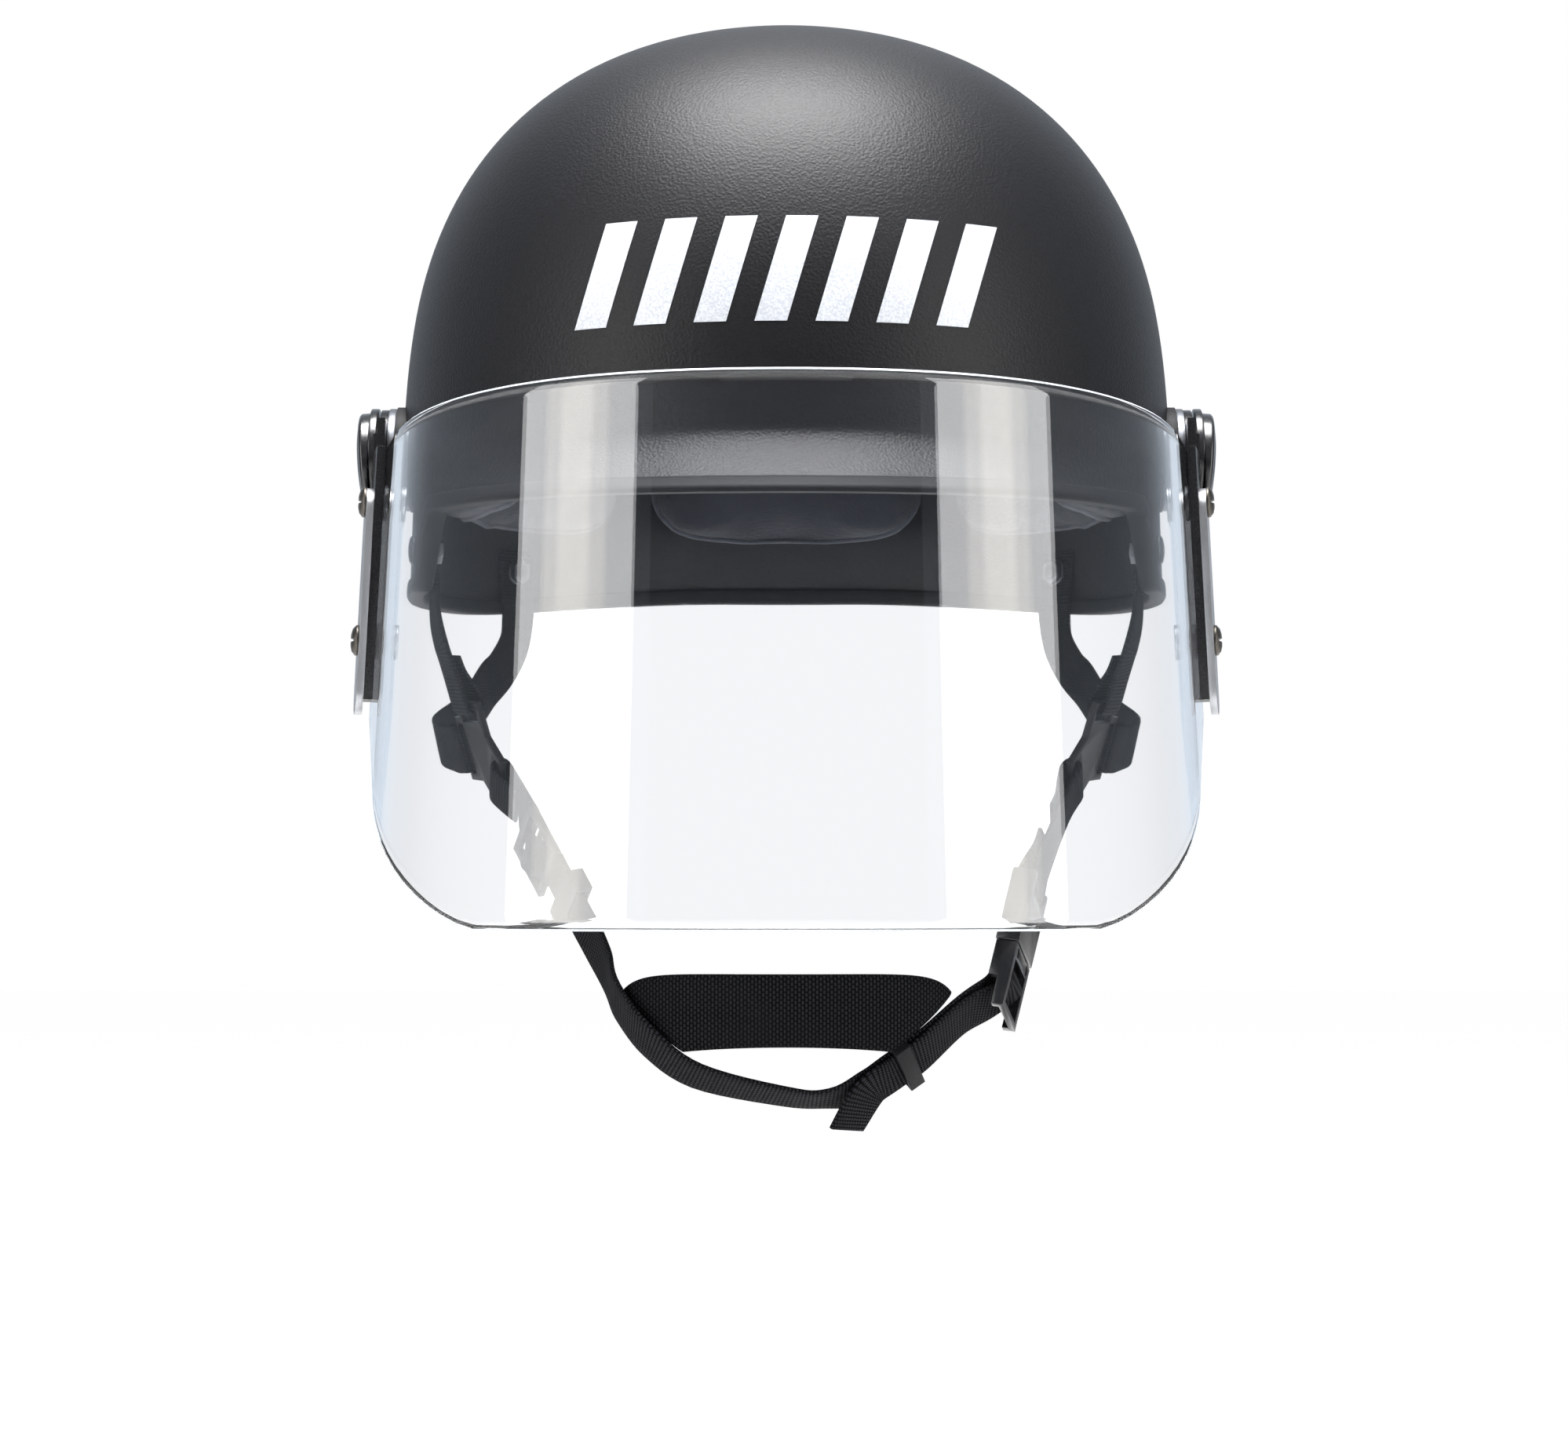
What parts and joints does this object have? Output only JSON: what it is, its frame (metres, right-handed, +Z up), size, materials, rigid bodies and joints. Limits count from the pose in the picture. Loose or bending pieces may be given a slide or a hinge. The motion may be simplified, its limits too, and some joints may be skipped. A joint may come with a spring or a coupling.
{
  "type": "tactical helmet",
  "caption": "Moulded head shell with flared brim and ear flaps, padded liner, webbing chin harness and a clear face shield that lifts on side hinges",
  "frame": {"origin": "on the centre plane, on the shield hinges' plane, at the level of the ear flap rim, where the wearer's head enters", "axes": "+Z up, -Y to the front, +X to the wearer's left"},
  "size_m": [0.2684, 0.308, 0.3407],
  "materials": {
    "shell": "fine orange-peel texture, satin",
    "edge_trim": "smooth extruded rubber",
    "crown_pad": "brushed loop fabric over foam",
    "front_pad": "brushed loop fabric over foam",
    "rear_pad": "brushed loop fabric over foam",
    "left_front_pad": "brushed loop fabric over foam",
    "right_front_pad": "brushed loop fabric over foam",
    "left_rear_pad": "brushed loop fabric over foam",
    "right_rear_pad": "brushed loop fabric over foam",
    "hook_discs": "hook tape",
    "left_gasket": "moulded rubber",
    "right_gasket": "moulded rubber",
    "left_hinge_base": "dark plated steel",
    "right_hinge_base": "dark plated steel",
    "left_t_nut": "zinc plated",
    "right_t_nut": "zinc plated",
    "left_pivot_bolt": "zinc plated",
    "right_pivot_bolt": "zinc plated",
    "left_friction_washer": "natural nylon",
    "right_friction_washer": "natural nylon",
    "left_wave_spring": "spring steel",
    "right_wave_spring": "spring steel",
    "left_hinge_disc": "glossy black",
    "right_hinge_disc": "glossy black",
    "left_hinge_cap": "glossy black, stepped rings",
    "right_hinge_cap": "glossy black, stepped rings",
    "left_front_strap": "ribbed nylon webbing",
    "right_front_strap": "ribbed nylon webbing",
    "left_nape_strap": "ribbed nylon webbing",
    "right_nape_strap": "ribbed nylon webbing",
    "left_yoke": "moulded acetal",
    "right_yoke": "moulded acetal",
    "left_jaw_strap": "ribbed nylon webbing",
    "under_chin_strap": "ribbed nylon webbing",
    "chin_cup": "ribbed nylon webbing",
    "tail_keeper": "moulded rubber loop",
    "tri_glide": "moulded acetal",
    "strap_keeper": "moulded acetal",
    "strap_screws": "black oxide",
    "strap_washers": "zinc plated",
    "strap_nuts": "zinc plated",
    "buckle_socket": "moulded acetal",
    "buckle_tongue": "moulded acetal",
    "front_prong": "moulded acetal",
    "rear_prong": "moulded acetal",
    "face_shield": "clear hard-coated polycarbonate",
    "left_arm": "black coated steel",
    "right_arm": "black coated steel",
    "left_clamp_plate": "satin aluminium",
    "right_clamp_plate": "satin aluminium",
    "shield_screws": "dull brass",
    "shield_posts": "zinc plated"
  },
  "bodies": {
    "helmet": {"shell": "shell", "edge_trim": "edge_trim", "crown_pad": "crown_pad", "front_pad": "front_pad", "rear_pad": "rear_pad", "left_front_pad": "left_front_pad", "right_front_pad": "right_front_pad", "left_rear_pad": "left_rear_pad", "right_rear_pad": "right_rear_pad", "hook_discs": "hook_discs", "left_gasket": "left_gasket", "right_gasket": "right_gasket", "left_hinge_base": "left_hinge_base", "right_hinge_base": "right_hinge_base", "left_t_nut": "left_t_nut", "right_t_nut": "right_t_nut", "left_pivot_bolt": "left_pivot_bolt", "right_pivot_bolt": "right_pivot_bolt", "left_friction_washer": "left_friction_washer", "right_friction_washer": "right_friction_washer", "left_wave_spring": "left_wave_spring", "right_wave_spring": "right_wave_spring", "left_hinge_disc": "left_hinge_disc", "right_hinge_disc": "right_hinge_disc", "left_hinge_cap": "left_hinge_cap", "right_hinge_cap": "right_hinge_cap", "left_front_strap": "left_front_strap", "right_front_strap": "right_front_strap", "left_nape_strap": "left_nape_strap", "right_nape_strap": "right_nape_strap", "left_yoke": "left_yoke", "right_yoke": "right_yoke", "left_jaw_strap": "left_jaw_strap", "under_chin_strap": "under_chin_strap", "chin_cup": "chin_cup", "tail_keeper": "tail_keeper", "tri_glide": "tri_glide", "strap_screws": "strap_screws", "strap_washers": "strap_washers", "strap_nuts": "strap_nuts", "buckle_socket": "buckle_socket", "buckle_tongue": "buckle_tongue"},
    "visor": {"face_shield": "face_shield", "left_arm": "left_arm", "right_arm": "right_arm", "left_clamp_plate": "left_clamp_plate", "right_clamp_plate": "right_clamp_plate", "shield_screws": "shield_screws", "shield_posts": "shield_posts"},
    "front_prong": {"front_prong": "front_prong"},
    "rear_prong": {"rear_prong": "rear_prong"},
    "keeper": {"strap_keeper": "strap_keeper"}
  },
  "joints": [
    {"name": "shield_lift", "type": "hinge", "parent": "helmet", "child": "visor", "pos_m": [0, 0, 0.0435], "axis": [-1, 0, 0], "range_deg": [0, 85]},
    {"name": "front_prong_press", "type": "hinge", "parent": "helmet", "child": "front_prong", "pos_m": [0.06522, -0.07125, -0.1096], "axis": [-0.9457, 0.2963, 0.1337], "range_deg": [0, 12], "stiffness_Nm_per_rad": 0.05},
    {"name": "rear_prong_press", "type": "hinge", "parent": "helmet", "child": "rear_prong", "pos_m": [0.06811, -0.05957, -0.11504], "axis": [0.9457, -0.2963, -0.1337], "range_deg": [0, 12], "stiffness_Nm_per_rad": 0.05},
    {"name": "keeper_slide", "type": "slide", "parent": "helmet", "child": "keeper", "axis": [0.4306, -0.5007, -0.751], "range_m": [-0.004, 0.004]}
  ]
}
